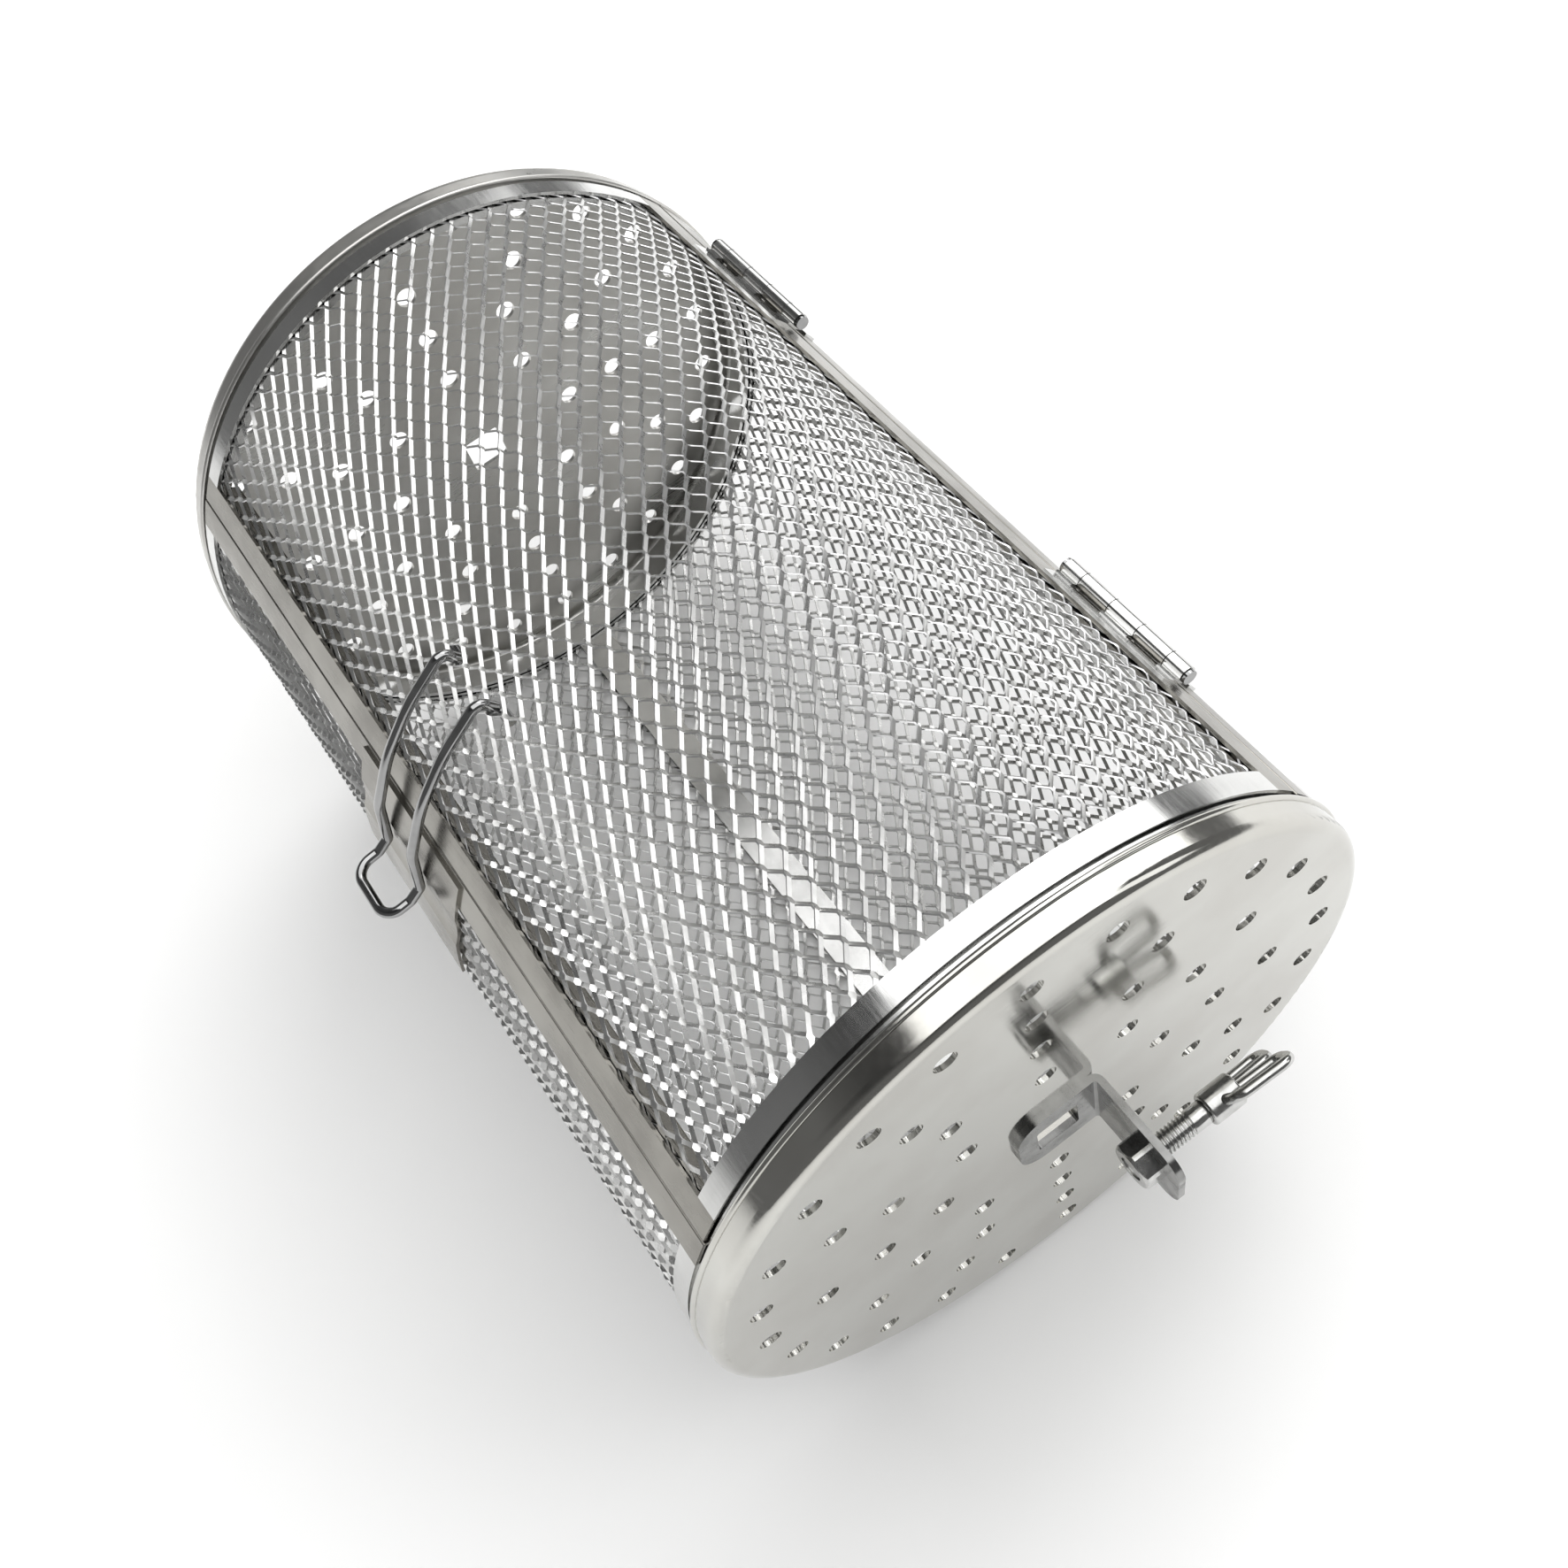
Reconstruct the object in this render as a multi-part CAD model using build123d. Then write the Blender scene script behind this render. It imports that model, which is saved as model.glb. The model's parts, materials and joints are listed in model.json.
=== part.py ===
from build123d import *
import math
import os

# Rotisserie basket: a drum of expanded steel mesh that turns on a square spit.
# Millimetres. X is the spit axis, with the spit clamp at +X. +Z points up through
# the middle of the door. Angles are in degrees about X, from +Y towards +Z.

# Drum and end plates
DRUM_RADIUS = 60.0
HALF_LENGTH = 90.0
PLATE_THICKNESS = 0.8
PLATE_CORNER_RADIUS = 2.0
FLANGE_WIDTH = 5.4
BEAD_HEIGHT = 0.45
BEAD_WIDTH = 1.0

# Perforations of the end plates: ring radius and number of holes
HOLE_DIAMETER = 3.8
HOLE_RINGS = ((20.5, 8), (31.3, 12), (41.7, 12), (52.0, 24))

# Square spit hole
SPIT_HOLE_WIDTH = 7.5
SPIT_HOLE_CORNER = 0.6
CUT_MARGIN = 1.0

# Folded strips that hem the mesh
STRIP_THICKNESS = 0.6
MESH_THICKNESS = 0.6
MESH_EDGE_GAP = 0.1
BAND_WIDTH = 3.8
BODY_BAND_END = 83.8
DOOR_BAND_END = 83.5
FOLD_RADIUS = 0.25

# Hoops inside the end plates
HOOP_THICKNESS = 0.8
HOOP_LIP_RADIUS = 57.9
HOOP_LIP_END = 80.2
HOOP_OUTER_END = 87.9

# Angles of the door, the body and the seam at the bottom
BODY_RAIL_HINGE = (28.4, 33.1)
DOOR_RAIL_HINGE = (33.9, 38.9)
DOOR_RAIL_LATCH = (142.2, 146.95)
BODY_RAIL_LATCH = (147.15, 152.3)
SEAM_ANGLE = 270.0
SEAM_HALF_SPAN = 3.5

# Hinges
HINGE_CENTRES = {"front": 47.0, "rear": -51.5}
KNUCKLE_LENGTHS = (3.8, 6.4, 6.1, 6.4, 3.8)
KNUCKLE_GAP = 0.16
PIN_AXIS_RADIUS = 61.8
PIN_ANGLE = 33.5
BARREL_RADIUS = 1.5
PIN_RADIUS = 0.75
PIN_CLEARANCE = 0.05
PIN_HEAD_RADIUS = 1.25
PIN_HEAD_LENGTH = 0.5
LEAF_THICKNESS = 0.5
LEAF_SPAN = 5.2
LEAF_CUTBACK = 2.6
LEAF_OVERLAP_ANGLE = 1.0
TONGUE_LENGTH = 2.4

# Latch wire and its catch plate
WIRE_RADIUS = 0.9
LATCH_HALF_WIDTH = 5.75
LATCH_FOOT_LENGTH = 3.2
LATCH_PIVOT_RADIUS = 57.3
LATCH_PIVOT_ANGLE = 122.6
DETENT_ANGLE = 158.3
LATCH_SLOT_WIDTH = 2.8
LATCH_SLOT_SPAN = (119.8, 124.8)
# Corners of each arm from its foot to the finger loop: radius, angle and bend radius
LATCH_CORNERS = (
    (LATCH_PIVOT_RADIUS, LATCH_PIVOT_ANGLE, 1.1),
    (62.1, 122.4, 1.6),
    (62.6, 131.5, 30.0),
    (62.8, 141.0, 30.0),
    (62.6, 150.5, 8.0),
    (61.1, DETENT_ANGLE, 0.75),
    (62.9, 160.6, 1.6),
    (67.3, 162.4, 3.0),
)
CATCH_HALF_WIDTH = 16.5
CATCH_THICKNESS = 0.5
CATCH_SPAN = (148.2, 168.8)
DETENT_HALF_SPAN = 3.0
DETENT_DEPTH = 0.45

# Spit clamp on the front end plate
CLAMP_THICKNESS = 1.2
CLAMP_HALF_WIDTH = 8.0
CLAMP_BASE_END = -7.2
CLAMP_FLANGE_FACE = 7.4
CLAMP_HEIGHT = 19.0
CLAMP_BEND_RADIUS = 0.6
CLAMP_BASE_CORNER = 5.0
CLAMP_FLANGE_CORNER = 4.0
SCREW_HEIGHT = 12.4
NUT_ACROSS_FLATS = 7.0
NUT_LENGTH = 3.2
NUT_CROWN_INSET = 0.2
NUT_CHAMFER = 0.5
SCREW_RADIUS = 1.95
SCREW_CLEARANCE = 0.08
SCREW_PITCH = 0.7
THREAD_DEPTH = 0.3
# One crest of the thread: shares of the depth below the crest and of the pitch
THREAD_FORM = ((1.0, 0.25), (0.0, 0.5), (0.0, 0.65), (1.0, 0.9))
THREAD_RUNOUT = 0.3
SCREW_TIP = 4.4
THREADED_LENGTH = 11.2
HUB_START = 18.2
HUB_LENGTH = 5.9
HUB_RADIUS = 2.7
HUB_ROUNDING = 0.5
HUB_SOCKET_DEPTH = 3.0
WING_WIRE_RADIUS = 0.85
WING_ANGLE = 64.0
# Each hollow wing: distance out from the screw's axis and height along +Y
WING_CORNERS = ((1.4, 20.9), (5.9, 22.2), (7.0, 31.8), (2.0, 31.4), (1.2, 23.0))
WING_BENDS = (2.2, 1.9, 1.7)

STRIP_INNER = DRUM_RADIUS - STRIP_THICKNESS
MESH_INNER = STRIP_INNER - MESH_THICKNESS
HEM_INNER = MESH_INNER - STRIP_THICKNESS
STRIP_ANGLE = math.degrees(STRIP_THICKNESS / DRUM_RADIUS)
EDGE_GAP_ANGLE = math.degrees(MESH_EDGE_GAP / DRUM_RADIUS)
FLANGE_START = HALF_LENGTH - FLANGE_WIDTH
PLATE_INNER_FACE = HALF_LENGTH - PLATE_THICKNESS
SCREW_X = HALF_LENGTH + SCREW_HEIGHT
CLAMP_OUTER_FACE = CLAMP_FLANGE_FACE + CLAMP_THICKNESS


def polar(radius, angle):
    """Point of the cross-section (Y, Z) at a radius and an angle."""
    a = math.radians(angle)
    return (radius * math.cos(a), radius * math.sin(a))


def polar3(x, radius, angle):
    """Point in space at a radius and an angle about the spit axis."""
    return Vector(x, *polar(radius, angle))


def along_x(face, start, end):
    """Extrude a cross-section drawn in Y and Z from x = start to x = end."""
    return extrude(Plane.YZ.offset(start) * face, end - start)


def wall(inner, outer, first, last, start, end):
    """Piece of a cylinder wall between two angles."""
    edges = [CenterArc((0, 0), r, first, last - first) for r in (inner, outer)]
    edges += [Line(polar(inner, a), polar(outer, a)) for a in (first, last)]
    return along_x(make_face(edges), start, end)


def spun(points, arc_middles=None):
    """Ring turned about X from (x, radius) points; a side with a middle point is an arc."""
    middles = arc_middles or {}
    sides = []
    for i, point in enumerate(points):
        following = points[(i + 1) % len(points)]
        if i in middles:
            sides.append(ThreePointArc(point, middles[i], following))
        else:
            sides.append(Line(point, following))
    return revolve(make_face(sides), Axis.X)


def rear(part):
    """Mirror a front piece to the rear end."""
    return mirror(part, about=Plane.YZ)


def rounded_path(points, radii):
    """Wire through the points, with each inner corner rounded by its radius."""
    edges = []
    here = points[0]
    for before, corner, after, radius in zip(points, points[1:], points[2:], radii):
        back = (before - corner).normalized()
        ahead = (after - corner).normalized()
        half = math.radians(back.get_angle(ahead)) / 2
        cut = radius / math.tan(half)
        centre = corner + (back + ahead).normalized() * (radius / math.sin(half))
        middle = centre + (corner - centre).normalized() * radius
        edges.append(Line(here, corner + back * cut))
        edges.append(ThreePointArc(corner + back * cut, middle, corner + ahead * cut))
        here = corner + ahead * cut
    edges.append(Line(here, points[-1]))
    return Wire(edges)


def round_bar(path, radius):
    """Round bar swept along a path."""
    return sweep(Plane(origin=path @ 0, z_dir=path % 0) * Circle(radius), path=path)


def spit_hole():
    """Outline of the square hole that the spit passes through."""
    return RectangleRounded(SPIT_HOLE_WIDTH, SPIT_HOLE_WIDTH, SPIT_HOLE_CORNER)


def perforations():
    """Cutters through the front plate: the rings of round holes and the spit hole."""
    outline = spit_hole()
    for radius, count in HOLE_RINGS:
        outline += PolarLocations(radius, count) * Circle(HOLE_DIAMETER / 2)
    return along_x(outline, PLATE_INNER_FACE - CUT_MARGIN, HALF_LENGTH + CUT_MARGIN)


def end_plate():
    """Front end plate: a flanged disc with rounded edge and a beaded rim."""
    inset = PLATE_CORNER_RADIUS
    inner_r = DRUM_RADIUS - PLATE_THICKNESS
    quarter = math.sqrt(0.5)
    inner_round = inset - PLATE_THICKNESS
    bead = FLANGE_START + BEAD_WIDTH
    points = [
        (HALF_LENGTH, 0),
        (HALF_LENGTH, DRUM_RADIUS - inset),
        (HALF_LENGTH - inset, DRUM_RADIUS),
        (bead, DRUM_RADIUS),
        (FLANGE_START, DRUM_RADIUS),
        (FLANGE_START, inner_r),
        (HALF_LENGTH - inset, inner_r),
        (PLATE_INNER_FACE, DRUM_RADIUS - inset),
        (PLATE_INNER_FACE, 0),
    ]
    corner = (HALF_LENGTH - inset, DRUM_RADIUS - inset)
    arc_middles = {
        1: (corner[0] + inset * quarter, corner[1] + inset * quarter),
        3: (FLANGE_START + BEAD_WIDTH / 2, DRUM_RADIUS + BEAD_HEIGHT),
        6: (corner[0] + inner_round * quarter, corner[1] + inner_round * quarter),
    }
    return spun(points, arc_middles) - perforations()


def hoop():
    """Front hoop: a stepped ring under the plate's flange, with a lip for the door."""
    lip_in = HOOP_LIP_RADIUS - HOOP_THICKNESS
    seat = DRUM_RADIUS - PLATE_THICKNESS
    step = BODY_BAND_END + HOOP_THICKNESS
    return spun([
        (HOOP_LIP_END, lip_in),
        (step, lip_in),
        (step, seat - HOOP_THICKNESS),
        (HOOP_OUTER_END, seat - HOOP_THICKNESS),
        (HOOP_OUTER_END, seat),
        (BODY_BAND_END, seat),
        (BODY_BAND_END, HOOP_LIP_RADIUS),
        (HOOP_LIP_END, HOOP_LIP_RADIUS),
    ])


def soften(part, angle):
    """Round the folded outer edge of a rail, at the given angle."""
    fold = Vector(0, *polar(DRUM_RADIUS, angle))
    edges = part.edges().filter_by(Axis.X)
    nearest = edges.sort_by_distance(fold)[0]
    return fillet(nearest, FOLD_RADIUS)


def rail(span, fold_first, end):
    """Strip along X folded over a mesh edge; the fold is at the first or last angle."""
    first, last = span
    fold = (first, first + STRIP_ANGLE) if fold_first else (last - STRIP_ANGLE, last)
    strip = wall(STRIP_INNER, DRUM_RADIUS, first, last, -end, end)
    strip += wall(HEM_INNER, MESH_INNER, first, last, -end, end)
    strip += wall(HEM_INNER, DRUM_RADIUS, *fold, -end, end)
    return soften(strip, first if fold_first else last)


def band(first, last, end, web_inner):
    """Front arc folded over the end of a mesh sheet."""
    start = end - BAND_WIDTH
    strip = wall(STRIP_INNER, DRUM_RADIUS, first, last, start, end)
    strip += wall(HEM_INNER, MESH_INNER, first, last, start, end)
    return strip + wall(web_inner, DRUM_RADIUS, first, last, end - STRIP_THICKNESS, end)


def mesh_sheet(first, last, end):
    """Mesh sheet, kept as a plain thin wall with the mesh's own thickness."""
    half = end - STRIP_THICKNESS - MESH_EDGE_GAP
    return wall(MESH_INNER, STRIP_INNER, first, last, -half, half)


def seam_strip():
    """H-shaped strip that joins the two body sheets at the bottom."""
    end = BODY_BAND_END - BAND_WIDTH
    first = SEAM_ANGLE - SEAM_HALF_SPAN
    last = SEAM_ANGLE + SEAM_HALF_SPAN
    half_web = STRIP_ANGLE / 2
    strip = wall(STRIP_INNER, DRUM_RADIUS, first, last, -end, end)
    strip += wall(HEM_INNER, MESH_INNER, first, last, -end, end)
    web = (SEAM_ANGLE - half_web, SEAM_ANGLE + half_web)
    return strip + wall(HEM_INNER, DRUM_RADIUS, *web, -end, end)


def door_mesh():
    """Door mesh, with the two openings that the latch wire's feet pass through."""
    inset = STRIP_ANGLE + EDGE_GAP_ANGLE
    sheet = mesh_sheet(DOOR_RAIL_HINGE[0] + inset, DOOR_RAIL_LATCH[1] - inset, DOOR_BAND_END)
    half = LATCH_SLOT_WIDTH / 2
    for side in (-1, 1):
        x = side * LATCH_HALF_WIDTH
        sheet -= wall(HEM_INNER, DRUM_RADIUS, *LATCH_SLOT_SPAN, x - half, x + half)
    return sheet


def body_meshes():
    """The two body mesh sheets, on the hinge side and on the latch side."""
    inset = STRIP_ANGLE + EDGE_GAP_ANGLE
    seam_inset = STRIP_ANGLE / 2 + EDGE_GAP_ANGLE
    hinge_end = BODY_RAIL_HINGE[1] + 360 - inset
    return {
        "body_mesh_hinge_side": mesh_sheet(SEAM_ANGLE + seam_inset, hinge_end, BODY_BAND_END),
        "body_mesh_latch_side": mesh_sheet(
            BODY_RAIL_LATCH[0] + inset, SEAM_ANGLE - seam_inset, BODY_BAND_END
        ),
    }


def knuckle_spans(centre):
    """The x range of each knuckle of a hinge, from its rear end to its front end."""
    x = centre - sum(KNUCKLE_LENGTHS) / 2
    spans = []
    for length in KNUCKLE_LENGTHS:
        spans.append((x + KNUCKLE_GAP / 2, x + length - KNUCKLE_GAP / 2))
        x += length
    return spans


def hinge_leaf(centre, side):
    """One leaf of a hinge: side 1 is the door's, -1 the body's."""
    spans = knuckle_spans(centre)
    own = spans[0::2] if side == 1 else spans[1::2]
    edge = DOOR_RAIL_HINGE[0] if side == 1 else BODY_RAIL_HINGE[1]
    far = edge + side * math.degrees(LEAF_SPAN / DRUM_RADIUS)
    cut = edge + side * math.degrees(LEAF_CUTBACK / DRUM_RADIUS)
    top = DRUM_RADIUS + LEAF_THICKNESS
    first, last = sorted((cut, far))
    leaf = wall(DRUM_RADIUS, top, first, last, spans[0][0], spans[-1][1])
    axis = polar(PIN_AXIS_RADIUS, PIN_ANGLE)
    tangent = Location((*axis, 0), (0, 0, PIN_ANGLE - 90))
    reach = -side * TONGUE_LENGTH / 2
    lift = LEAF_THICKNESS / 2 - BARREL_RADIUS
    tongue = tangent * Pos(reach, lift) * Rectangle(TONGUE_LENGTH, LEAF_THICKNESS)
    for start, end in own:
        near, away = sorted((edge, cut + side * LEAF_OVERLAP_ANGLE))
        leaf += wall(DRUM_RADIUS, top, near, away, start, end)
        leaf += along_x(Pos(*axis) * Circle(BARREL_RADIUS) + tongue, start, end)
    bore = Pos(*axis) * Circle(PIN_RADIUS + PIN_CLEARANCE)
    return leaf - along_x(bore, spans[0][0] - CUT_MARGIN, spans[-1][1] + CUT_MARGIN)


def hinge_pin(centre):
    """Hinge pin with a flattened head at each end."""
    spans = knuckle_spans(centre)
    start = spans[0][0] - KNUCKLE_GAP
    end = spans[-1][1] + KNUCKLE_GAP
    middle = Pos(*polar(PIN_AXIS_RADIUS, PIN_ANGLE))
    pin = along_x(middle * Circle(PIN_RADIUS), start - PIN_HEAD_LENGTH / 2, end)
    head = middle * Circle(PIN_HEAD_RADIUS)
    return pin + along_x(head, start - PIN_HEAD_LENGTH, start) + along_x(
        head, end, end + PIN_HEAD_LENGTH
    )


def latch_wire():
    """Spring wire: two feet under the door mesh, two arms and a finger loop."""
    foot = polar3(-LATCH_HALF_WIDTH - LATCH_FOOT_LENGTH, LATCH_PIVOT_RADIUS, LATCH_PIVOT_ANGLE)
    arm = [polar3(-LATCH_HALF_WIDTH, radius, angle) for radius, angle, _ in LATCH_CORNERS]
    left = [foot] + arm
    right = [Vector(-p.X, p.Y, p.Z) for p in reversed(left)]
    bends = [bend for _, _, bend in LATCH_CORNERS]
    return round_bar(rounded_path(left + right, bends + bends[::-1]), WIRE_RADIUS)


def catch_plate():
    """Plate on the body under the latch, with a shallow groove for the wire's bends."""
    first, last = CATCH_SPAN
    dip = (DETENT_ANGLE - DETENT_HALF_SPAN, DETENT_ANGLE + DETENT_HALF_SPAN)
    edges = []
    for radius in (DRUM_RADIUS, DRUM_RADIUS + CATCH_THICKNESS):
        edges.append(CenterArc((0, 0), radius, first, dip[0] - first))
        ends = [polar(radius, angle) for angle in dip]
        edges.append(ThreePointArc(ends[0], polar(radius - DETENT_DEPTH, DETENT_ANGLE), ends[1]))
        edges.append(CenterArc((0, 0), radius, dip[1], last - dip[1]))
    for angle in CATCH_SPAN:
        edges.append(Line(polar(DRUM_RADIUS, angle), polar(DRUM_RADIUS + CATCH_THICKNESS, angle)))
    return along_x(make_face(edges), -CATCH_HALF_WIDTH, CATCH_HALF_WIDTH)


def clamp_bracket():
    """Bent strip on the front plate: a base with the spit hole and a screw flange."""
    base_face = HALF_LENGTH + CLAMP_THICKNESS
    tip = HALF_LENGTH + CLAMP_HEIGHT
    outline = Polyline([
        (HALF_LENGTH, CLAMP_BASE_END),
        (HALF_LENGTH, CLAMP_OUTER_FACE),
        (tip, CLAMP_OUTER_FACE),
        (tip, CLAMP_FLANGE_FACE),
        (base_face, CLAMP_FLANGE_FACE),
        (base_face, CLAMP_BASE_END),
    ], close=True)
    bracket = extrude(make_face(outline), CLAMP_HALF_WIDTH, both=True)
    upright = bracket.edges().filter_by(Axis.Z)
    outer = upright.sort_by_distance((HALF_LENGTH, CLAMP_OUTER_FACE, 0))[0]
    inner = upright.sort_by_distance((base_face, CLAMP_FLANGE_FACE, 0))[0]
    bracket = fillet(outer, CLAMP_BEND_RADIUS + CLAMP_THICKNESS)
    bracket = fillet(
        bracket.edges().filter_by(Axis.Z).sort_by_distance(inner.center())[0],
        CLAMP_BEND_RADIUS,
    )
    base_corners = bracket.edges().filter_by(Axis.X).sort_by(Axis.Y)[:2]
    bracket = fillet(base_corners, CLAMP_BASE_CORNER)
    flange_corners = bracket.edges().filter_by(Axis.Y).sort_by(Axis.X)[-2:]
    bracket = fillet(flange_corners, CLAMP_FLANGE_CORNER)
    bracket -= along_x(spit_hole(), HALF_LENGTH - CUT_MARGIN, base_face + CUT_MARGIN)
    screw_hole = Circle(SCREW_RADIUS + SCREW_CLEARANCE * 2)
    return bracket - along_screw(
        screw_hole, CLAMP_FLANGE_FACE - CUT_MARGIN, CLAMP_OUTER_FACE + CUT_MARGIN
    )


def along_screw(face, start, end):
    """Extrude a section along +Y on the screw's axis."""
    layer = Plane(origin=(SCREW_X, start, 0), x_dir=(1, 0, 0), z_dir=(0, 1, 0))
    return extrude(layer * face, end - start)


def clamp_nut():
    """Hexagon nut welded to the inner face of the clamp's flange."""
    start = CLAMP_FLANGE_FACE - NUT_LENGTH
    corner = NUT_ACROSS_FLATS / math.sqrt(3)
    hexagon = RegularPolygon(corner, 6, rotation=30)
    nut = along_screw(hexagon, start, CLAMP_FLANGE_FACE)
    crown = along_screw(Circle(corner - NUT_CROWN_INSET), start, CLAMP_FLANGE_FACE)
    nut = nut & chamfer(crown.edges().sort_by(Axis.Y)[0], NUT_CHAMFER)
    return nut - along_screw(Circle(SCREW_RADIUS + SCREW_CLEARANCE), start, CLAMP_FLANGE_FACE)


def screw_shank():
    """Screw shank: ring-shaped thread crests near the tip and a plain neck."""
    root = SCREW_RADIUS - THREAD_DEPTH
    end = HUB_START + HUB_SOCKET_DEPTH
    outline = [(0, SCREW_TIP), (root, SCREW_TIP)]
    crests = int(THREADED_LENGTH / SCREW_PITCH)
    for turn in range(crests):
        for depth, share in THREAD_FORM:
            y = SCREW_TIP + (turn + share) * SCREW_PITCH
            outline.append((SCREW_RADIUS - depth * THREAD_DEPTH, y))
    neck = SCREW_TIP + crests * SCREW_PITCH + THREAD_RUNOUT
    outline += [(SCREW_RADIUS, neck), (SCREW_RADIUS, end), (0, end)]
    profile = make_face(Polyline(outline, close=True))
    return Pos(SCREW_X, 0, 0) * revolve(profile, Axis.Y)


def wing_loop(direction):
    """One hollow wing of the screw head, reaching out along a unit vector."""
    corners = [
        Vector(SCREW_X, height, 0) + direction * reach for reach, height in WING_CORNERS
    ]
    return round_bar(rounded_path(corners, WING_BENDS), WING_WIRE_RADIUS)


def wing_head():
    """Wing head of the screw: a hub with two hollow wings."""
    hub = along_screw(Circle(HUB_RADIUS), HUB_START, HUB_START + HUB_LENGTH)
    hub = fillet(hub.edges().filter_by(GeomType.CIRCLE), HUB_ROUNDING)
    a = math.radians(WING_ANGLE)
    for side in (-1, 1):
        hub += wing_loop(Vector(side * math.cos(a), 0, side * math.sin(a)))
    socket = Circle(SCREW_RADIUS + PIN_CLEARANCE)
    return hub - along_screw(socket, HUB_START - CUT_MARGIN, HUB_START + HUB_SOCKET_DEPTH)


def drum_nodes():
    """Fixed parts of the drum."""
    inner, outer = BODY_RAIL_LATCH[1], BODY_RAIL_HINGE[0] + 360
    plate = end_plate()
    ring = hoop()
    arc = band(inner, outer, BODY_BAND_END, HOOP_LIP_RADIUS)
    return {
        "front_end_plate": plate,
        "rear_end_plate": rear(plate),
        "front_hoop": ring,
        "rear_hoop": rear(ring),
        "body_band_front": arc,
        "body_band_rear": rear(arc),
        "body_rail_hinge_side": rail(BODY_RAIL_HINGE, False, BODY_BAND_END),
        "body_rail_latch_side": rail(BODY_RAIL_LATCH, True, BODY_BAND_END),
        "seam_strip": seam_strip(),
        "catch_plate": catch_plate(),
        **body_meshes(),
    }


def door_nodes():
    """Parts of the door."""
    arc = band(DOOR_RAIL_HINGE[1], DOOR_RAIL_LATCH[0], DOOR_BAND_END, HEM_INNER)
    return {
        "door_mesh": door_mesh(),
        "door_band_front": arc,
        "door_band_rear": rear(arc),
        "door_rail_hinge_side": rail(DOOR_RAIL_HINGE, True, DOOR_BAND_END),
        "door_rail_latch_side": rail(DOOR_RAIL_LATCH, False, DOOR_BAND_END),
        "latch_wire": latch_wire(),
    }


def hinge_nodes():
    """Two leaves and a pin for each hinge."""
    nodes = {}
    for name, centre in HINGE_CENTRES.items():
        nodes[f"hinge_{name}_door_leaf"] = hinge_leaf(centre, 1)
        nodes[f"hinge_{name}_body_leaf"] = hinge_leaf(centre, -1)
        nodes[f"hinge_{name}_pin"] = hinge_pin(centre)
    return nodes


def clamp_nodes():
    """Spit clamp and its wing screw."""
    return {
        "clamp_bracket": clamp_bracket(),
        "clamp_nut": clamp_nut(),
        "screw_shank": screw_shank(),
        "wing_head": wing_head(),
    }


os.makedirs("parts", exist_ok=True)
for build in (drum_nodes, door_nodes, hinge_nodes, clamp_nodes):
    for node, part in build().items():
        export_step(part, f"parts/{node}.step")
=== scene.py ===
import json
import math

import bpy
import bmesh
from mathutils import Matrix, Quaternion, Vector


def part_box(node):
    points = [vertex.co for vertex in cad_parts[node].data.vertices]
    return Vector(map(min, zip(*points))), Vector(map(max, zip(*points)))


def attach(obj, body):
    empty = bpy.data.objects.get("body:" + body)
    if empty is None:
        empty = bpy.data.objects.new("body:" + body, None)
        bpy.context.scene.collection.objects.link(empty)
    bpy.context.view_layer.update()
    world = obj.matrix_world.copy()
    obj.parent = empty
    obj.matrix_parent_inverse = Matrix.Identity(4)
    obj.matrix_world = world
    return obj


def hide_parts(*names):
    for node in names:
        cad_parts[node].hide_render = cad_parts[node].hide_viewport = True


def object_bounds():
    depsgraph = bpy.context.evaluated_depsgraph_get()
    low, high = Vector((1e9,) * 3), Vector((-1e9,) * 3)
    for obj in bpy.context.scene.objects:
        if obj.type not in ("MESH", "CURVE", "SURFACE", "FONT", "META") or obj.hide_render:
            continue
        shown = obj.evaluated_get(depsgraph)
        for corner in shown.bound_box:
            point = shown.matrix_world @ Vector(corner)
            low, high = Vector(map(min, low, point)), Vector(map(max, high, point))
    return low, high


# Rotisserie basket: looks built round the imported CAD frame. Lengths are in metres, apart from
# the groups of values marked as mm.

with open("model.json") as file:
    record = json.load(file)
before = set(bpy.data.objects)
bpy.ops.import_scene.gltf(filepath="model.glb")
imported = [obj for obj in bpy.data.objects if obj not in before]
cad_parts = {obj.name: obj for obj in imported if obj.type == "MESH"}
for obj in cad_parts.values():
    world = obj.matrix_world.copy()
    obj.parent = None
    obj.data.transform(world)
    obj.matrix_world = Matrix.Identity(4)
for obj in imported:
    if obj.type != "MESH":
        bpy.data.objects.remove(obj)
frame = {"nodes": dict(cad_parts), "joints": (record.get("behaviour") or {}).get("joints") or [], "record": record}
cad_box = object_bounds()
nodes = frame["nodes"]

MM = 0.001

# Camera, with angles in degrees and lens and sensor in mm
CAMERA_TARGET = Vector((0.0121, 0.0031, -0.0065))
CAMERA_DISTANCE = 0.285
CAMERA_AZIMUTH = 73.95
CAMERA_ELEVATION = 58.74
CAMERA_ROLL = 21.74
CAMERA_LENS = 37.12
CAMERA_SENSOR = 36.0
CAMERA_CLIP = (0.01, 10.0)

# Expanded-metal mesh, in mm: a bond is the wide spot where four strands meet
LONG_WAY = 6.03
SHORT_WAY = 3.68
SKEW = -0.025  # how far the rows climb round the drum per mm along it
BOND_TIP = 0.80
BOND_CORNER = 0.30
STRAND_WIDTH = 0.47
STRAND_THICKNESS = 0.28
BOND_TILT = math.radians(64)
STRAND_FLAT_FROM = 0.32  # share of a strand's length where its flat middle starts
HEM_RAMP = 2.0
FLAT_SHARE = 0.1  # share of the tilt that is left under the hems
SHEET_MARGIN = 0.15

# Lip turned in under the door's latch rail, in mm; it is a dark sheet that puts painted shade in the openings
# beside the rail, on top of the real shadow under it
LIP_DEPTH = 2.2
LIP_THICKNESS = 0.4
LIP_BEVEL = 0.08

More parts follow.
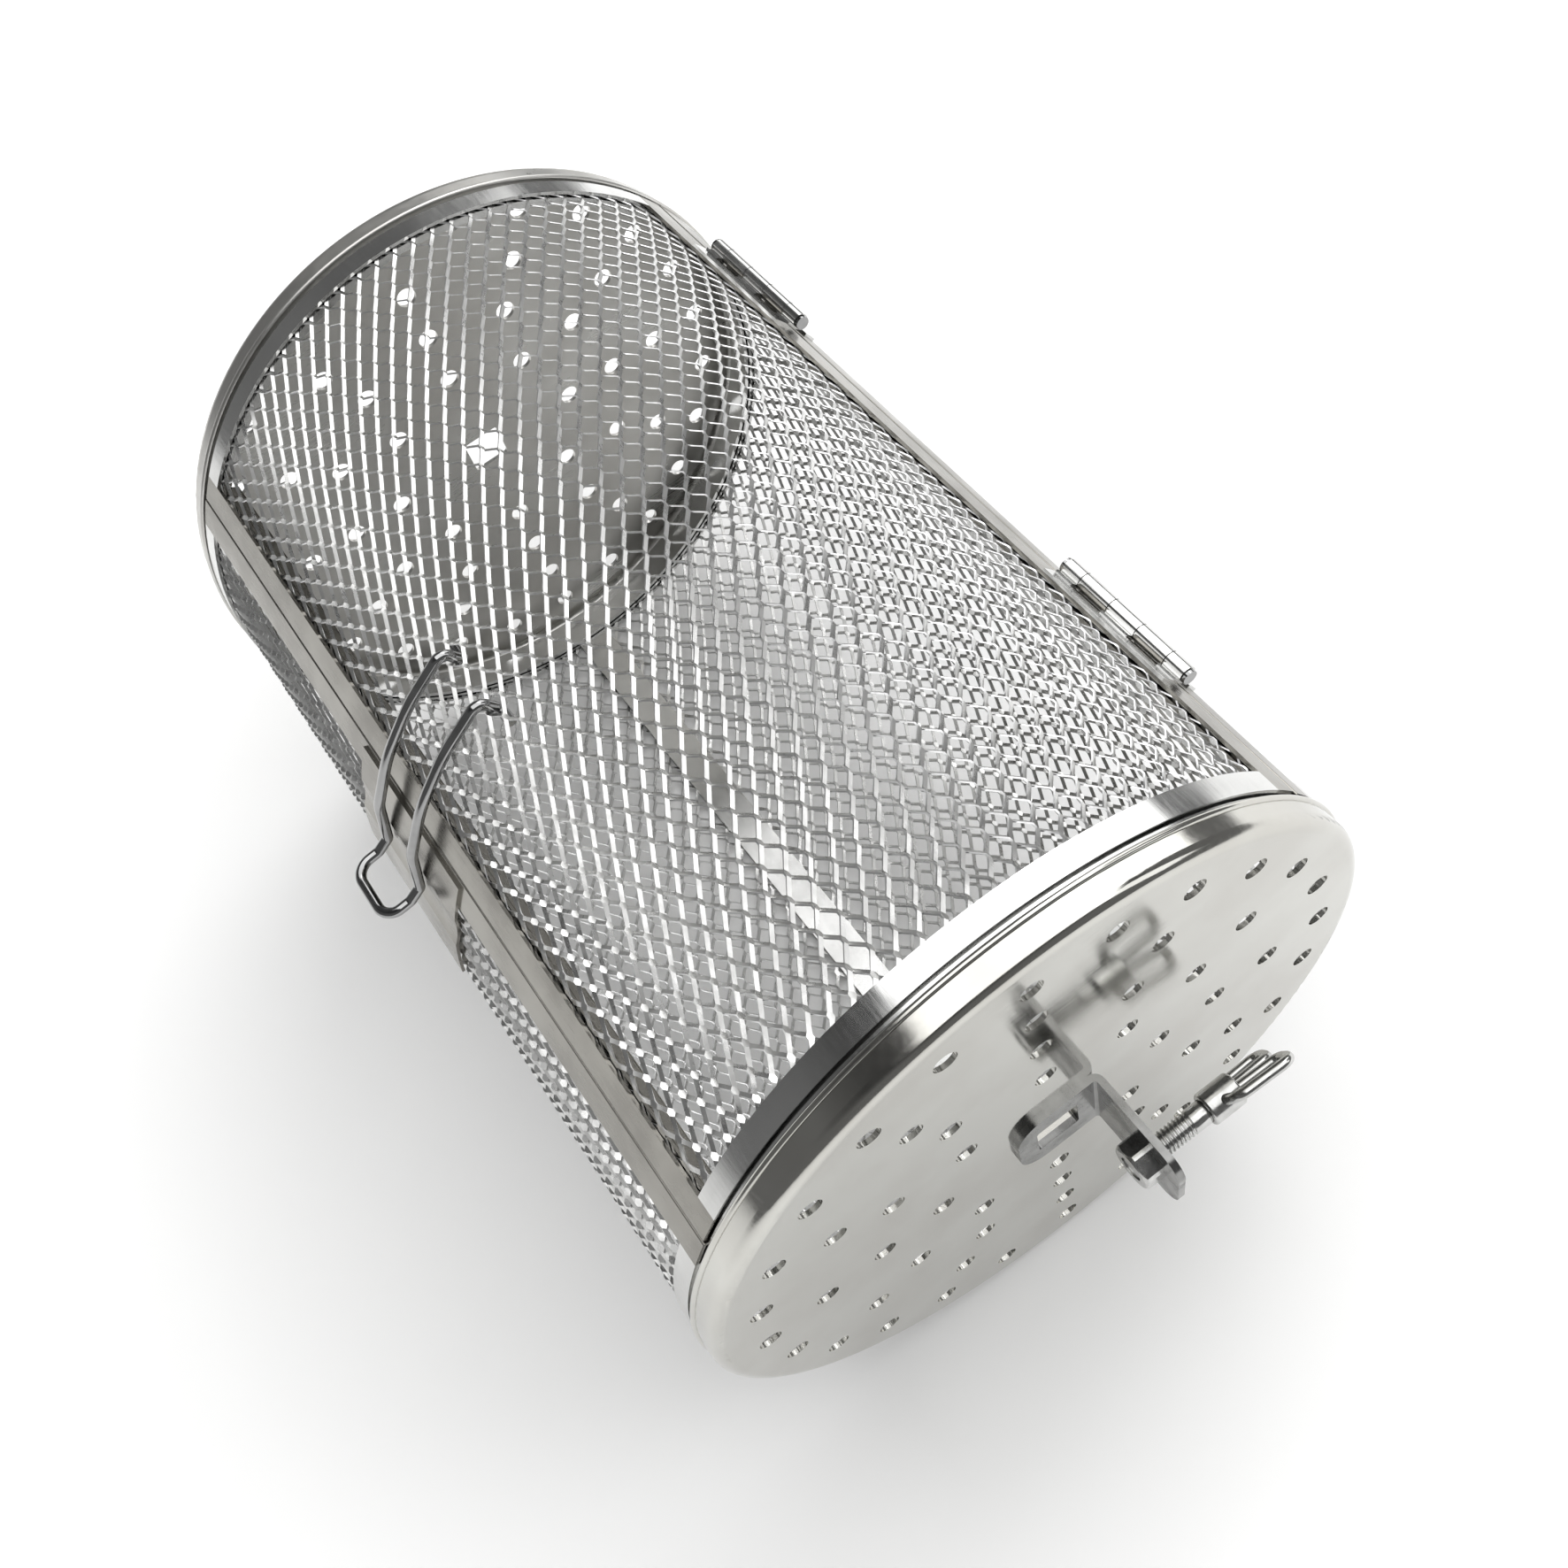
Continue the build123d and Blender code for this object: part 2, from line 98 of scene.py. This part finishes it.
# The row of the lattice's openings that the latch wire's feet pass through lies this many
# degrees from the latch's pivot about the drum's axis
FOOT_ROW_TURN = -0.6

# Studio floor and room; a room level is a grey, and its height runs from 0 to 1 overhead
FLOOR_RADIUS = 5.0
FLOOR_SIDES = 96
FLOOR_GAP = 0.0002
FLOOR_COLOUR = (0.93, 0.93, 0.925, 1)
FLOOR_ROUGHNESS = 0.9
# Painted light: the floor glows, from nothing FLOOR_GLOW_FROM metres from the object up to FLOOR_GLOW at
# FLOOR_GLOW_TO
FLOOR_GLOW = 0.36
FLOOR_GLOW_FROM = 0.06
FLOOR_GLOW_TO = 0.25
ROOM_LOW = 0.18
ROOM_LOW_AT = 0.5
ROOM_HIGH = 0.06
ROOM_HIGH_AT = 0.75

# Soft lights: name, place, point it faces, size across and along, power in watts
SOFTBOXES = (
    ("overhead", (0.15, 0.55, 2.0), (0.15, 0.55, 0), (2.8, 2.7), 49),
    ("hinge_side", (-0.8, 1.15, 1.1), (0, 0, 0), (1.3, 1.3), 11),
    ("front", (0.75, 1.3, 0.9), (0, 0, 0), (0.6, 0.8), 2.2),
)

# Screw thread, in mm
THREAD_PITCH = 0.7
THREAD_DEPTH = 0.3
THREAD_TURNS = 16
THREAD_FADE = 0.5
THREAD_FLANK_GAIN = 1.25
THREAD_CREST_FLAT = 0.1
THREAD_ROWS_PER_TURN = 12
THREAD_SIDES = 40


def point_angle(co):
    """Angle in degrees of a point about the drum's axis, from +Y towards +Z."""
    return math.degrees(math.atan2(co.z, co.y))


def angle_span(node):
    """First and last angle of a CAD node about the drum's axis, in one unbroken range."""
    low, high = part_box(node)
    middle = point_angle((low + high) / 2)
    turns = [(point_angle(v.co) - middle + 180) % 360 - 180 for v in nodes[node].data.vertices]
    return middle + min(turns), middle + max(turns)


def radius_span(node):
    """Smallest and largest distance of a CAD node's points from the drum's axis."""
    radii = [math.hypot(v.co.y, v.co.z) for v in nodes[node].data.vertices]
    return min(radii), max(radii)


def foot_row(radius):
    """Arc length from +Y, in mm, of the row of openings that the latch wire's feet pass."""
    pivot = next(j for j in frame["joints"] if j["name"] == "latch_pivot")["pos_m"]
    turn = point_angle(Vector(pivot)) + FOOT_ROW_TURN
    return math.radians(turn) * radius


def smooth(t):
    """Soft step from 0 to 1 as t goes from 0 to 1."""
    t = min(1.0, max(0.0, t))
    return t * t * (3 - 2 * t)


def add_object(name, mesh, body, slot, *replaced):
    """Link a mesh as a piece that rides on a body and stands for CAD nodes."""
    piece = bpy.data.objects.new(name, mesh)
    bpy.context.scene.collection.objects.link(piece)
    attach(piece, body)
    if replaced:
        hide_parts(*replaced)
    return piece


def make_mesh(bm, name):
    """Mesh of a finished bmesh, with its faces turned outward."""
    bmesh.ops.recalc_face_normals(bm, faces=bm.faces)
    mesh = bpy.data.meshes.new(name)
    bm.to_mesh(mesh)
    bm.free()
    return mesh


# ---------------------------------------------------------------- expanded metal

# Corners of a bond in order: distance from its middle along the drum, in mm, and side across it
BOND_CORNERS = {
    "right": (BOND_TIP, 0),
    "top_right": (BOND_CORNER, 1),
    "top_left": (-BOND_CORNER, 1),
    "left": (-BOND_TIP, 0),
    "bottom_left": (-BOND_CORNER, -1),
    "bottom_right": (BOND_CORNER, -1),
}


def sheet_shape(node, end_strip, first_strip, last_strip):
    """Extent of a mesh sheet and of its open field between the hems, in mm."""
    inner, outer = (r / MM for r in radius_span(node))
    radius = (inner + outer) / 2
    to_arc = radius * math.pi / 180
    first, last = angle_span(node)
    field_first = angle_span(first_strip)[1]
    field_last = angle_span(last_strip)[0]
    field_first += 360 * round((first - field_first) / 360)
    field_last += 360 * round((last - field_last) / 360)
    return {
        "radius": radius,
        "half_length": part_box(node)[1].x / MM,
        "half_field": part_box(end_strip)[0].x / MM,
        "first": first * to_arc,
        "last": last * to_arc,
        "field_first": field_first * to_arc,
        "field_last": field_last * to_arc,
    }


def bond_centres(shape):
    """Centres of the bonds that fit on a sheet, by column and row; every other row is shifted."""
    pitch = SHORT_WAY / 2
    start = foot_row(shape["radius"])
    low = shape["first"] + SHEET_MARGIN
    high = shape["last"] - SHEET_MARGIN
    lean = math.ceil(abs(SKEW) * shape["half_length"] / pitch)
    first_row = math.floor((low + STRAND_WIDTH - start) / pitch) - lean
    last_row = math.ceil((high - STRAND_WIDTH - start) / pitch) + lean
    reach = int(shape["half_length"] / LONG_WAY) + 1
    centres = {}
    for row in range(first_row, last_row + 1):
        v = start + row * pitch
        for column in range(-reach, reach + 1):
            u = LONG_WAY * (column + 0.5 * ((row + 1) % 2))
            edge = v + SKEW * u
            inside = low < edge - STRAND_WIDTH and edge + STRAND_WIDTH < high
            if inside and abs(u) + BOND_TIP + SHEET_MARGIN < shape["half_length"]:
                centres[column, row] = (u, v)
    return centres


def lattice(name, shape):
    """Raised expanded-metal sheet: tilted bonds joined by flat strands, wrapped on the drum.

    A strand leaves the raised side of one bond and reaches the sunken side of the next.
    """
    bm = bmesh.new()
    radius = shape["radius"]

    def tilt_at(u, v):
        """Tilt of the bonds: steep in the open field, nearly flat inside the hems."""
        inside = min(
            shape["half_field"] - abs(u), v - shape["field_first"], shape["field_last"] - v
        )
        return BOND_TILT * (FLAT_SHARE + (1 - FLAT_SHARE) * smooth(inside / HEM_RAMP))

    def corner(u, v, du, across):
        """Outer and inner vertex of a bond's corner; across is -1, 0 or 1 on its width."""
        tilt = tilt_at(u, v)
        pair = []
        for half in (STRAND_THICKNESS / 2, -STRAND_THICKNESS / 2):
            along = across * STRAND_WIDTH * math.cos(tilt) - half * math.sin(tilt)
            rise = across * STRAND_WIDTH * math.sin(tilt) + half * math.cos(tilt)
            angle = (v + along + SKEW * (u + du)) / radius
            r = radius + rise
            place = Vector((u + du, r * math.cos(angle), r * math.sin(angle))) * MM
            pair.append(bm.verts.new(place))
        return pair

    def bond(u, v):
        """The corners of the bond at a centre, by name."""
        return {key: corner(u, v, du, across) for key, (du, across) in BOND_CORNERS.items()}

    def slab(ring, walls):
        """Outer and inner face of a ring of corners, with walls on the numbered sides."""
        bm.faces.new([pair[0] for pair in ring])
        bm.faces.new([pair[1] for pair in reversed(ring)])
        for i in walls:
            a, b = ring[i], ring[(i + 1) % len(ring)]
            bm.faces.new([a[1], b[1], b[0], a[0]]).material_index = 1

    def between(start, end, share):
        """Outer and inner vertex part of the way from one corner to another."""
        return [bm.verts.new(a.co.lerp(b.co, share)) for a, b in zip(start, end)]

    def strand(low, high, side):
        """Strand from the low bond's raised side to the high bond's sunken side.

        side is right or left; two middle sections keep the strand flat between the bonds.
        """
        other = "left" if side == "right" else "right"
        near, far = (low[side], low["top_" + side]), (high["bottom_" + other], high[other])
        sections = [near]
        for share in (STRAND_FLAT_FROM, 1 - STRAND_FLAT_FROM):
            sections.append([between(a, b, share) for a, b in zip(near, far)])
        sections.append(far)
        for (a, b), (c, d) in zip(sections, sections[1:]):
            slab([a, c, d, b], (0, 2))

    bonds = {key: bond(u, v) for key, (u, v) in bond_centres(shape).items()}
    for (i, j), here in bonds.items():
        step = (j + 1) % 2
        ahead, behind = bonds.get((i + step, j + 1)), bonds.get((i + step - 1, j + 1))
        from_right, from_left = bonds.get((i + step, j - 1)), bonds.get((i + step - 1, j - 1))
        joined = (ahead, None, behind, from_left, None, from_right)
        slab(list(here.values()), [k for k in range(len(joined)) if joined[k] is None])
        if ahead:
            strand(here, ahead, "right")
        if behind:
            strand(here, behind, "left")
    for face in bm.faces:
        face.smooth = True
    for edge in bm.edges:
        one_finish = len({face.material_index for face in edge.link_faces}) == 1
        at_bond = any(len(face.verts) == len(BOND_CORNERS) for face in edge.link_faces)
        edge.smooth = one_finish and not at_bond
    return make_mesh(bm, name)


# ---------------------------------------------------------------- door lip

def turned_lip(name, rail, end_strip):
    """Narrow lip that turns in from the free edge of a rail, between the end strips; dark, as painted shade behind
    the openings next to the rail.
    """
    edge = math.radians(angle_span(rail)[0])
    top = radius_span(rail)[0] / MM
    half_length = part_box(end_strip)[0].x / MM
    outward = Vector((0, math.cos(edge), math.sin(edge)))
    sideways = Vector((0, -math.sin(edge), math.cos(edge)))
    bm = bmesh.new()
    bmesh.ops.create_cube(bm, size=1.0)
    for vert in bm.verts:
        along, across, down = vert.co.x, vert.co.y + 0.5, 0.5 - vert.co.z
        place = Vector((2 * half_length * along, 0, 0))
        place += outward * (top - LIP_DEPTH * down) + sideways * (LIP_THICKNESS * across)
        vert.co = place * MM
    bmesh.ops.bevel(bm, geom=bm.edges[:], offset=LIP_BEVEL * MM, segments=2, affect="EDGES")
    return make_mesh(bm, name)


# ---------------------------------------------------------------- screw thread

def threaded_shank(node):
    """Screw shank with a helical thread up to its plain neck, along the CAD node's own axis."""
    low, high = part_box(node)
    centre = (low + high) / 2
    crest = (high.x - low.x) / 2 / MM
    length = (high.y - low.y) / MM
    threaded = THREAD_PITCH * THREAD_TURNS
    rows = THREAD_TURNS * THREAD_ROWS_PER_TURN
    heights = [threaded * k / rows for k in range(rows + 1)] + [length]

    def radius(height, share):
        turn = (height / THREAD_PITCH - share) % 1
        cut = abs(2 * turn - 1) * THREAD_FLANK_GAIN - THREAD_CREST_FLAT
        fade = smooth(height / THREAD_FADE) * smooth((threaded - height) / THREAD_FADE)
        if height >= threaded:
            return crest
        tip_cut = THREAD_DEPTH * (1 - smooth(height / THREAD_FADE))
        return crest - tip_cut - THREAD_DEPTH * fade * smooth(cut)

    bm = bmesh.new()
    rings = []
    for height in heights:
        ring = []
        for side in range(THREAD_SIDES):
            share = side / THREAD_SIDES
            angle = 2 * math.pi * share
            r = radius(height, share) * MM
            y = low.y + height * MM
            x, z = centre.x + r * math.cos(angle), centre.z + r * math.sin(angle)
            ring.append(bm.verts.new((x, y, z)))
        rings.append(ring)
    for lower, upper in zip(rings, rings[1:]):
        for k in range(THREAD_SIDES):
            following = (k + 1) % THREAD_SIDES
            bm.faces.new([lower[k], upper[k], upper[following], lower[following]]).smooth = True
    bm.faces.new(rings[0])
    bm.faces.new(list(reversed(rings[-1])))
    return make_mesh(bm, node)


# ---------------------------------------------------------------- materials

# The band of a noise texture's values that is stretched to the full range
NOISE_LOW = 0.35
NOISE_HIGH = 0.65


def steel(name, colour, tint, roughness, spread, grain, grain_depth, smudge):
    """Bare steel: tint variation, a stretched rolling grain and uneven polish.

    grain is the noise scale along X, Y and Z; smudge the scale of the uneven patches.
    """
    material = bpy.data.materials.new(name)
    material.use_nodes = True
    tree = material.node_tree
    shader = tree.nodes["Principled BSDF"]
    shader.inputs["Metallic"].default_value = 1.0

    def new(kind, **settings):
        node = tree.nodes.new(kind)
        for key, value in settings.items():
            setattr(node, key, value)
        return node

    def noise(vector, scale, detail):
        node = new("ShaderNodeTexNoise")
        node.inputs["Scale"].default_value = scale
        node.inputs["Detail"].default_value = detail
        tree.links.new(vector, node.inputs["Vector"])
        return node.outputs["Fac"]

    def ramp(value, low, high):
        node = new("ShaderNodeMapRange")
        node.inputs["From Min"].default_value = NOISE_LOW
        node.inputs["From Max"].default_value = NOISE_HIGH
        node.inputs["To Min"].default_value = low
        node.inputs["To Max"].default_value = high
        tree.links.new(value, node.inputs["Value"])
        return node.outputs["Result"]

    place = new("ShaderNodeTexCoord").outputs["Object"]
    stretch = new("ShaderNodeMapping")
    stretch.inputs["Scale"].default_value = grain
    tree.links.new(place, stretch.inputs["Vector"])
    patches = noise(place, scale=smudge, detail=4.0)
    fibres = noise(stretch.outputs["Vector"], scale=1.0, detail=3.0)

    blend = new("ShaderNodeMix", data_type="RGBA")
    blend.inputs["A"].default_value = (*colour, 1.0)
    blend.inputs["B"].default_value = (*tint, 1.0)
    tree.links.new(ramp(patches, 0.0, 1.0), blend.inputs["Factor"])
    tree.links.new(blend.outputs["Result"], shader.inputs["Base Color"])

    mixed = new("ShaderNodeMath", operation="ADD")
    tree.links.new(ramp(patches, roughness - spread, roughness + spread), mixed.inputs[0])
    tree.links.new(ramp(fibres, -spread / 2, spread / 2), mixed.inputs[1])
    tree.links.new(mixed.outputs["Value"], shader.inputs["Roughness"])

    bump = new("ShaderNodeBump")
    bump.inputs["Distance"].default_value = grain_depth
    tree.links.new(fibres, bump.inputs["Height"])
    tree.links.new(bump.outputs["Normal"], shader.inputs["Normal"])
    return material


plate_steel = steel(
    "plate_steel", colour=(0.57, 0.567, 0.535), tint=(0.51, 0.50, 0.468),
    roughness=0.12, spread=0.04, grain=(900, 160, 3200), grain_depth=2e-6, smudge=60,
)
dull_plate_steel = steel(
    "dull_plate_steel", colour=(0.60, 0.595, 0.575), tint=(0.53, 0.52, 0.495),
    roughness=0.34, spread=0.06, grain=(900, 160, 3200), grain_depth=3e-6, smudge=60,
)
strip_steel = steel(
    "strip_steel", colour=(0.68, 0.68, 0.67), tint=(0.58, 0.58, 0.57),
    roughness=0.19, spread=0.05, grain=(260, 2600, 2600), grain_depth=3e-6, smudge=90,
)
mesh_steel = steel(
    "mesh_steel", colour=(0.70, 0.70, 0.69), tint=(0.60, 0.60, 0.59),
    roughness=0.30, spread=0.06, grain=(400, 2400, 2400), grain_depth=4e-6, smudge=300,
)
cut_steel = steel(
    "cut_steel", colour=(0.80, 0.80, 0.80), tint=(0.68, 0.68, 0.68),
    roughness=0.42, spread=0.08, grain=(2000, 2000, 2000), grain_depth=8e-6, smudge=500,
)
# Painted shade: the rails, catch plate and lip get steel darkened far below strip_steel, standing in for the dark
# surroundings they reflect
rail_steel_painted_shade = steel(
    "rail_steel_painted_shade", colour=(0.30, 0.29, 0.265), tint=(0.25, 0.24, 0.22),
    roughness=0.26, spread=0.05, grain=(260, 2600, 2600), grain_depth=3e-6, smudge=90,
)
# Painted shade: the clamp bracket's steel is darkened to match its shaded look
bracket_steel_painted_shade = steel(
    "bracket_steel_painted_shade", colour=(0.27, 0.27, 0.265), tint=(0.20, 0.20, 0.195),
    roughness=0.25, spread=0.08, grain=(700, 1800, 1800), grain_depth=6e-6, smudge=240,
)
# Painted shade: the latch wire's steel is darkened to stand in for the dark reflections along its arms; its low
# roughness still gives real highlights
wire_steel_painted_shade = steel(
    "wire_steel_painted_shade", colour=(0.36, 0.36, 0.36), tint=(0.28, 0.28, 0.28),
    roughness=0.10, spread=0.03, grain=(1500, 1500, 1500), grain_depth=1e-6, smudge=200,
)
plated_steel = steel(
    "plated_steel", colour=(0.56, 0.56, 0.55), tint=(0.44, 0.44, 0.43),
    roughness=0.20, spread=0.06, grain=(1200, 1200, 1200), grain_depth=3e-6, smudge=400,
)

SLOT_STEEL = {
    "steel_sheet": strip_steel,
    "steel_mesh": mesh_steel,
    "steel_wire": wire_steel_painted_shade,
    "plated_hardware": plated_steel,
}
NODE_STEEL = {
    "front_end_plate": plate_steel,
    "rear_end_plate": dull_plate_steel,
    "catch_plate": rail_steel_painted_shade,
    "clamp_bracket": bracket_steel_painted_shade,
    "body_rail_hinge_side": rail_steel_painted_shade,
    "body_rail_latch_side": rail_steel_painted_shade,
    "door_rail_hinge_side": rail_steel_painted_shade,
    "door_rail_latch_side": rail_steel_painted_shade,
}


def finish_cad_nodes():
    """Give every CAD node its own steel, or the one of its material slot in the record."""
    for part in frame["record"]["subparts"]:
        node = nodes[part["node"]]
        material = NODE_STEEL.get(part["node"], SLOT_STEEL[part["material_slot"]])
        for slot in node.material_slots:
            slot.material = material
        if not node.material_slots:
            node.data.materials.append(material)


finish_cad_nodes()


# ---------------------------------------------------------------- pieces

DOOR_SHAPE = sheet_shape(
    "door_mesh", "door_band_front", "door_rail_hinge_side", "door_rail_latch_side"
)
HINGE_SHAPE = sheet_shape(
    "body_mesh_hinge_side", "body_band_front", "seam_strip", "body_rail_hinge_side"
)
LATCH_SHAPE = sheet_shape(
    "body_mesh_latch_side", "body_band_front", "body_rail_latch_side", "seam_strip"
)
LATTICES = (
    ("door_expanded_mesh", "door_mesh", "door", DOOR_SHAPE),
    ("body_expanded_mesh_hinge_side", "body_mesh_hinge_side", "drum", HINGE_SHAPE),
    ("body_expanded_mesh_latch_side", "body_mesh_latch_side", "drum", LATCH_SHAPE),
)
for name, node, body, shape in LATTICES:
    mesh = lattice(name, shape)
    mesh.materials.append(mesh_steel)
    mesh.materials.append(cut_steel)
    add_object(name, mesh, body, "steel_mesh", node)

# Dark sheet under the latch rail: painted shade in the openings beside it
lip = turned_lip("door_rail_lip", "door_rail_latch_side", "door_band_front")
lip.materials.append(rail_steel_painted_shade)
add_object("door_rail_lip", lip, "door", "steel_sheet")

shank = threaded_shank("screw_shank")
shank.materials.append(plated_steel)
add_object("screw_thread", shank, "screw", "plated_hardware", "screw_shank")


# ---------------------------------------------------------------- studio

def studio_floor():
    """Wide pale floor with painted light: it glows faintly away from the object, like a light table."""
    bm = bmesh.new()
    bmesh.ops.create_circle(bm, cap_ends=True, segments=FLOOR_SIDES, radius=FLOOR_RADIUS)
    mesh = bpy.data.meshes.new("floor")
    bm.to_mesh(mesh)
    bm.free()
    floor = bpy.data.objects.new("floor", mesh)
    floor.location = (0, 0, cad_box[0].z - FLOOR_GAP)
    bpy.context.scene.collection.objects.link(floor)
    material = bpy.data.materials.new("floor_paper")
    material.use_nodes = True
    tree = material.node_tree
    shader = tree.nodes["Principled BSDF"]
    shader.inputs["Base Color"].default_value = FLOOR_COLOUR
    shader.inputs["Roughness"].default_value = FLOOR_ROUGHNESS
    # Painted light: emission that grows with distance from the object
    shader.inputs["Emission Color"].default_value = (1, 1, 1, 1)
    place = tree.nodes.new("ShaderNodeTexCoord").outputs["Object"]
    away = tree.nodes.new("ShaderNodeVectorMath")
    away.operation = "LENGTH"
    glow = tree.nodes.new("ShaderNodeMapRange")
    glow.inputs["From Min"].default_value = FLOOR_GLOW_FROM
    glow.inputs["From Max"].default_value = FLOOR_GLOW_TO
    glow.inputs["To Max"].default_value = FLOOR_GLOW
    tree.links.new(place, away.inputs[0])
    tree.links.new(away.outputs["Value"], glow.inputs["Value"])
    tree.links.new(glow.outputs["Result"], shader.inputs["Emission Strength"])
    mesh.materials.append(material)


def softbox(name, place, target, size, power):
    """Rectangular area light at a place, facing a point."""
    light = bpy.data.lights.new(name, "AREA")
    light.shape = "RECTANGLE"
    light.size, light.size_y = size
    light.energy = power
    lamp = bpy.data.objects.new(name, light)
    lamp.location = place
    lamp.rotation_mode = "QUATERNION"
    lamp.rotation_quaternion = (Vector(target) - Vector(place)).to_track_quat("-Z", "Y")
    bpy.context.scene.collection.objects.link(lamp)


def studio_world():
    """Dim room above the floor: grey low down and darker overhead."""
    world = bpy.data.worlds.new("studio")
    world.use_nodes = True
    tree = world.node_tree
    background = tree.nodes["Background"]
    place = tree.nodes.new("ShaderNodeTexCoord").outputs["Generated"]
    split = tree.nodes.new("ShaderNodeSeparateXYZ")
    ramp = tree.nodes.new("ShaderNodeValToRGB")
    levels = ((ROOM_LOW_AT, ROOM_LOW), (ROOM_HIGH_AT, ROOM_HIGH))
    for stop, (height, level) in zip(ramp.color_ramp.elements, levels):
        stop.position = height
        stop.color = (level, level, level, 1)
    tree.links.new(place, split.inputs["Vector"])
    tree.links.new(split.outputs["Z"], ramp.inputs["Fac"])
    tree.links.new(ramp.outputs["Color"], background.inputs["Color"])
    bpy.context.scene.world = world


def photo_camera():
    """Camera at the photo's angle, rolled about its own axis."""
    azimuth, elevation = math.radians(CAMERA_AZIMUTH), math.radians(CAMERA_ELEVATION)
    back = Vector((
        math.sin(azimuth) * math.cos(elevation),
        -math.cos(azimuth) * math.cos(elevation),
        math.sin(elevation),
    ))
    data = bpy.data.cameras.new("camera")
    data.lens = CAMERA_LENS
    data.sensor_width = CAMERA_SENSOR
    data.clip_start, data.clip_end = CAMERA_CLIP
    camera = bpy.data.objects.new("camera", data)
    camera.location = CAMERA_TARGET + back * CAMERA_DISTANCE
    camera.rotation_mode = "QUATERNION"
    roll = Quaternion((0, 0, 1), -math.radians(CAMERA_ROLL))
    camera.rotation_quaternion = (-back).to_track_quat("-Z", "Y") @ roll
    bpy.context.scene.collection.objects.link(camera)
    bpy.context.scene.camera = camera


studio_floor()
studio_world()
for light in SOFTBOXES:
    softbox(*light)
photo_camera()
bpy.context.scene.view_settings.view_transform = "Standard"
